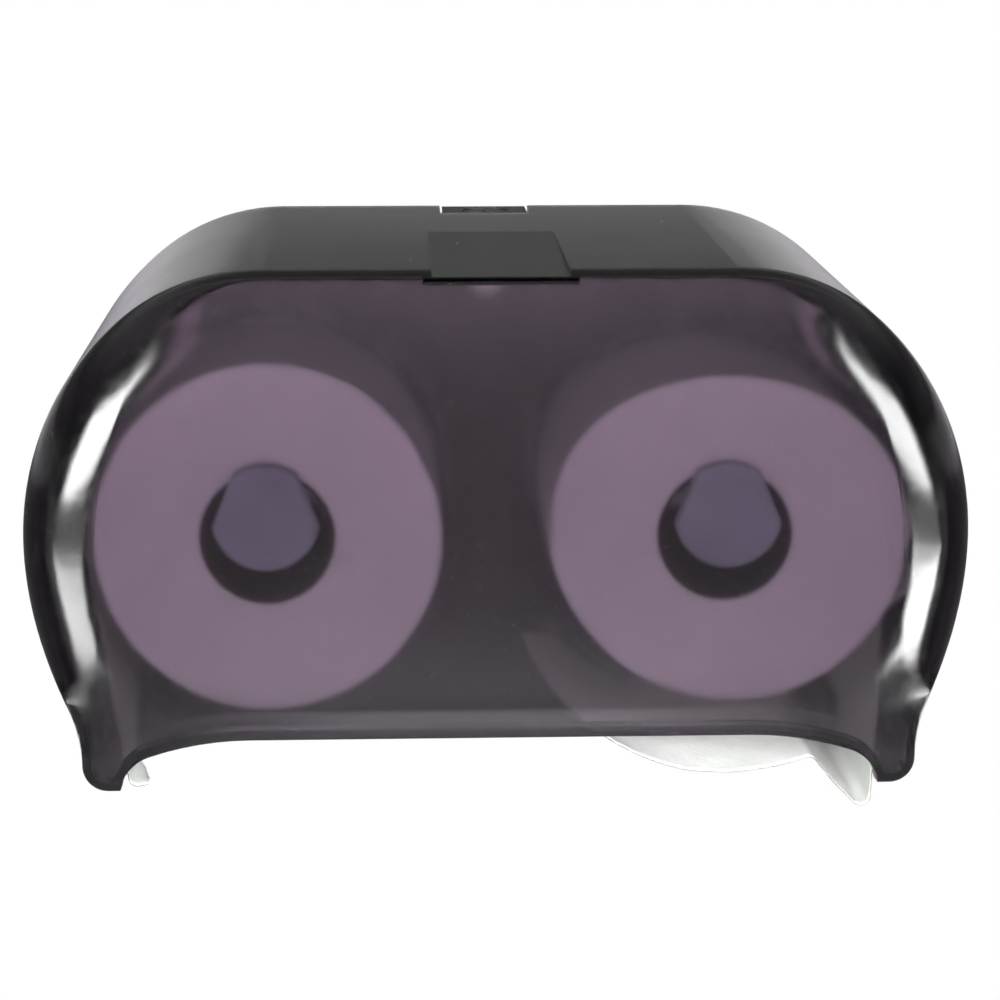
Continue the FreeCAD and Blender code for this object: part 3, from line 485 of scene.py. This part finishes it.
def core_board():
    """Wound brown board."""
    material, tree, shader = new_material("core_board")
    shade = add_noise(tree, 160.0, 4.0)
    tree.links.new(add_ramp(tree, shade, [(0.3, (0.035, 0.02, 0.017)), (0.7, (0.06, 0.035, 0.03))]),
                   shader.inputs["Base Color"])
    shader.inputs["Roughness"].default_value = 0.9
    fibre = add_noise(tree, 500.0, 3.0)
    tree.links.new(add_bump(tree, fibre, 0.3, 0.3 * MM), shader.inputs["Normal"])
    return material


def metal(name, colour, roughness):
    """Plated metal with fine brushing."""
    material, tree, shader = new_material(name)
    shader.inputs["Metallic"].default_value = 1.0
    shade = add_noise(tree, 90.0)
    darker = [0.85 * part for part in colour]
    tree.links.new(add_ramp(tree, shade, [(0.3, darker), (0.7, colour)]), shader.inputs["Base Color"])
    tree.links.new(add_range(tree, add_noise(tree, 400.0), roughness - 0.06, roughness + 0.08),
                   shader.inputs["Roughness"])
    scratches = add_noise(tree, 1500.0, 2.0)
    tree.links.new(add_bump(tree, scratches, 0.12, 0.1 * MM), shader.inputs["Normal"])
    return material


def paint(material, *names):
    for name in names:
        slots = nodes[name].data.materials
        slots.clear()
        slots.append(material)


def paint_nodes():
    paint(smoke_plastic(), "front_cover")
    paint(moulded_plastic("base_plastic", (0.014, 0.014, 0.016), 0.5), "back_base")
    paint(moulded_plastic("spindle_plastic", (0.3, 0.34, 0.4), 0.45),
          *[f"spindle_{side}" for side in SIDES], *[f"spindle_cap_{side}" for side in SIDES])
    paint(core_board(), *[f"core_{side}" for side in SIDES])
    paint(metal("zinc_steel", (0.5, 0.5, 0.49), 0.4), "spindle_screws", "lock_nut", "lock_cam", "cam_screw",
          *[f"hinge_pin_{side}" for side in SIDES])
    paint(metal("black_nickel", (0.16, 0.155, 0.15), 0.3), "lock_barrel", "lock_plug")


# Soft pieces

def new_piece(name, points, faces, material, body, replaced, origin=Vector()):
    mesh = bpy.data.meshes.new(name)
    mesh.from_pydata([tuple(point - origin) for point in points], [], faces)
    mesh.materials.append(material)
    for polygon in mesh.polygons:
        polygon.use_smooth = True
    piece = bpy.data.objects.new(name, mesh)
    piece.location = origin
    scene.collection.objects.link(piece)
    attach(piece, body)
    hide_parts(replaced)
    return piece


def ring_faces(rings, steps):
    """Quads of a closed tube of closed rings; the last ring joins the first."""
    faces = []
    for i in range(rings):
        after = (i + 1) % rings
        for j in range(steps):
            beside = (j + 1) % steps
            faces.append((i * steps + j, i * steps + beside, after * steps + beside, after * steps + j))
    return faces


# Paper rolls

ROLL_STEPS = 168
FACE_RINGS = 28
EDGE_RINGS = 5
SIDE_RINGS = 20
BORE_RINGS = 4
ROLL_EDGE = 1.8 * MM
LAYER_RELIEF = 0.2 * MM
FACE_RELIEF = 0.45 * MM
SIDE_RELIEF = 0.3 * MM
# noise steps per metre, or per radius for the waves round the side
LAYER_NOISE = 900.0
DENT_NOISE = 32.0
WAVE_NOISE = 2.4
LENGTH_NOISE = 22.0
ROLL_SEED = 7.0
CORE_PLAY = 0.15 * MM
# waves round a roll that is out of round: (count, direction of a crest, height)
OUT_OF_ROUND = {
    "left": [(1, -90.0, 0.35), (2, 90.0, 0.4)],
    "right": [(0, 0.0, -0.5), (1, -41.0, 2.2), (2, -11.0, 2.6), (3, 32.0, 0.9)],
}


def bulge(side, angle):
    total = 0.0
    for count, crest, height in OUT_OF_ROUND[side]:
        total += height * math.cos(count * (angle - math.radians(crest)))
    return total * MM


def roll_section(inner, outer, front, back):
    """(radius, depth, facing) points round a roll's section, from the bore over the front to the back."""
    rim = outer - ROLL_EDGE
    section = []
    for i in range(FACE_RINGS):
        section.append((inner + (rim - inner) * i / FACE_RINGS, front, "face"))
    for end, sign in ((front, 1.0), (back, -1.0)):
        quarter = []
        for i in range(EDGE_RINGS + 1):
            turn = math.pi / 2 * i / EDGE_RINGS
            depth = end + sign * ROLL_EDGE * (1 - math.cos(turn))
            quarter.append((rim + ROLL_EDGE * math.sin(turn), depth, "side"))
        if end == front:
            section += quarter
            for i in range(1, SIDE_RINGS):
                run = front + ROLL_EDGE + (back - front - 2 * ROLL_EDGE) * i / SIDE_RINGS
                section.append((outer, run, "side"))
        else:
            section += quarter[::-1]
    for i in range(FACE_RINGS):
        section.append((rim + (inner - rim) * (i + 1) / FACE_RINGS, back, "face"))
    for i in range(1, BORE_RINGS):
        section.append((inner, back + (front - back) * i / BORE_RINGS, "bore"))
    return section


def make_roll(side, material):
    low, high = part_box(f"paper_{side}")
    core_low, core_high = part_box(f"core_{side}")
    centre = (low + high) / 2
    outer = (high.x - low.x) / 2
    inner = (core_high.x - core_low.x) / 2 + CORE_PLAY
    seed = SIDES[side] * ROLL_SEED
    points = []
    section = roll_section(inner, outer, low.y, high.y)
    for radius, depth, facing in section:
        share = ((radius - inner) / (outer - inner)) ** 2
        for j in range(ROLL_STEPS):
            angle = 2 * math.pi * j / ROLL_STEPS
            across, rise = math.cos(angle), math.sin(angle)
            reach = radius + share * bulge(side, angle)
            sink = 0.0
            if facing == "face":
                way = 1.0 if depth == low.y else -1.0
                rings = noise.noise(Vector((radius * LAYER_NOISE, seed, 0.3)))
                dents = noise.noise(Vector((reach * across * DENT_NOISE, reach * rise * DENT_NOISE, seed)))
                sink = way * share ** 0.25 * (LAYER_RELIEF * rings + FACE_RELIEF * dents)
            elif facing == "side":
                along = depth * LENGTH_NOISE + seed
                reach += SIDE_RELIEF * noise.noise(Vector((across * WAVE_NOISE, rise * WAVE_NOISE, along)))
            points.append(Vector((centre.x + reach * across, depth + sink, centre.z + reach * rise)))
    faces = ring_faces(len(section), ROLL_STEPS)
    new_piece(f"roll_paper_{side}", points, faces, material, f"roll_{side}",
              f"paper_{side}", centre)


# Loose paper ends

SHEET_STEP = 1.6 * MM
SHEET_ACROSS = 40
SHEET_THICK = 0.35 * MM
SHEET_OFF_ROLL = {"left": 1.5 * MM, "right": 0.75 * MM}
TEAR_DEPTH = 0.9 * MM
LOOSE_AFTER = 60.0 * MM
TEAR_NOISE = 700.0
# (along, across) noise steps per metre
WAVE_SCALES = (40.0, 26.0)
CREASE_SCALES = (150.0, 90.0)
CREASE_SHARE = 0.3
# headings are measured from straight down, turning towards the object's middle
LEFT_START = 28.0
LEFT_RUN = [
    ("arc", None, 36.3),
    ("drop", -83.0),
    ("arc", 3.0, 95.0),
    ("line", 3.0),
]
LEFT_SLANT = 70.0 * MM
LEFT_SLANT_POWER = 2.0
LEFT_CRUMPLE = 0.5
RIGHT_START = 4.0
RIGHT_RUN = [
    ("arc", 40.0, 21.0),
    ("arc", 1.5, -65.0),
    ("line", 5.0),
    ("arc", 3.0, 101.0),
    ("line", 10.0),
    ("arc", 9.0, -51.5),
    ("drop", -92.4),
    ("arc", 3.5, 136.7),
    ("line", 21.5),
    ("arc", 3.0, -68.0),
    ("arc", 78.7, 90.0),
]
RIGHT_SLANT = 33.0 * MM
RIGHT_SLANT_POWER = 1.0
RIGHT_CRUMPLE = 0.8


def walk(x, z, heading, run, roll_radius):
    """Points (x, z) along a sheet; x grows outwards and the sheet starts on the roll's outer side."""
    points = [Vector((x, z))]
    for kind, *sizes in run:
        here = points[-1]
        if kind == "arc":
            radius = roll_radius if sizes[0] is None else sizes[0] * MM
            turn = math.radians(sizes[1])
            way = math.copysign(1.0, turn)
            steps = max(4, math.ceil(radius * abs(turn) / SHEET_STEP))
            for i in range(1, steps + 1):
                facing = heading + turn * i / steps
                points.append(here + way * radius * Vector((
                    math.cos(facing) - math.cos(heading), math.sin(heading) - math.sin(facing))))
            heading += turn
            continue
        length = sizes[0] * MM
        if kind == "drop":
            length = (here.y - sizes[0] * MM) / math.cos(heading)
        steps = max(2, math.ceil(length / SHEET_STEP))
        for i in range(1, steps + 1):
            points.append(here - length * i / steps * Vector((math.sin(heading), math.cos(heading))))
    return points


def point_along(points, lengths, distance):
    """The point at a distance along a line of points, and the line's direction there."""
    last = len(points) - 2
    i = next((k for k in range(last) if lengths[k + 1] >= distance), last)
    share = (distance - lengths[i]) / (lengths[i + 1] - lengths[i])
    way = (points[i + 1] - points[i]).normalized()
    return points[i].lerp(points[i + 1], share), way


def sheet_faces(rows, sign):
    """Faces of a sheet's two layers and of the border between them."""
    across = SHEET_ACROSS + 1
    count = (rows + 1) * across
    faces = []
    for i in range(rows):
        for j in range(SHEET_ACROSS):
            corner = i * across + j
            quad = (corner, corner + 1, corner + across + 1, corner + across)
            faces.append(quad)
            faces.append(tuple(count + k for k in reversed(quad)))
    border = list(range(SHEET_ACROSS))
    border += [i * across + SHEET_ACROSS for i in range(rows)]
    border += [rows * across + j for j in range(SHEET_ACROSS, 0, -1)]
    border += [i * across for i in range(rows, 0, -1)]
    for here, after in zip(border, border[1:] + border[:1]):
        faces.append((here, count + here, count + after, after))
    if sign > 0:
        faces = [tuple(reversed(face)) for face in faces]
    return faces


def make_sheet(side, start, run, slant, slant_power, crumple, material):
    low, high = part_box(f"tail_{side}")
    roll_low, roll_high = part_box(f"paper_{side}")
    centre = (roll_low + roll_high) / 2
    sign = SIDES[side]
    heading = -math.radians(start)
    on_roll = -heading if sign > 0 else math.pi + heading
    wrap = (roll_high.x - roll_low.x) / 2 + bulge(side, on_roll) + SHEET_OFF_ROLL[side] + SHEET_THICK / 2
    route = walk(sign * centre.x + wrap * math.cos(heading), centre.z - wrap * math.sin(heading),
                 heading, run, wrap)
    lengths = [0.0]
    for before, after in zip(route, route[1:]):
        lengths.append(lengths[-1] + (after - before).length)
    whole = lengths[-1]
    rows = math.ceil(whole / SHEET_STEP)
    layers = ([], [])
    for i in range(rows + 1):
        for j in range(SHEET_ACROSS + 1):
            back = j / SHEET_ACROSS
            depth = low.y + (high.y - low.y) * back
            tear = TEAR_DEPTH * noise.noise(Vector((depth * TEAR_NOISE, sign, 0.0)))
            length = whole - slant * back ** slant_power + tear
            distance = length * i / rows
            place, way = point_along(route, lengths, distance)
            loose = min(1.0, distance / LOOSE_AFTER)
            wave = noise.noise(Vector((distance * WAVE_SCALES[0], depth * WAVE_SCALES[1], sign * 3.0)))
            crease = noise.noise(Vector((distance * CREASE_SCALES[0], depth * CREASE_SCALES[1], sign * 5.0)))
            lift = crumple * loose * (wave + CREASE_SHARE * crease) * MM
            for layer, offset in zip(layers, (0.5, -0.5)):
                out = lift + offset * SHEET_THICK
                layer.append(Vector((sign * (place.x - way.y * out), depth, place.y + way.x * out)))
    points = layers[0] + layers[1]
    faces = sheet_faces(rows, sign)
    sheet = new_piece(f"paper_end_{side}", points, faces, material, "base", f"tail_{side}")


def make_paper():
    rolls = roll_tissue()
    for side in SIDES:
        make_roll(side, rolls)
    sheets = sheet_tissue_painted_shade()
    make_sheet("left", LEFT_START, LEFT_RUN, LEFT_SLANT, LEFT_SLANT_POWER, LEFT_CRUMPLE, sheets)
    make_sheet("right", RIGHT_START, RIGHT_RUN, RIGHT_SLANT, RIGHT_SLANT_POWER, RIGHT_CRUMPLE, sheets)


make_camera()
make_studio()
paint_nodes()
make_paper()
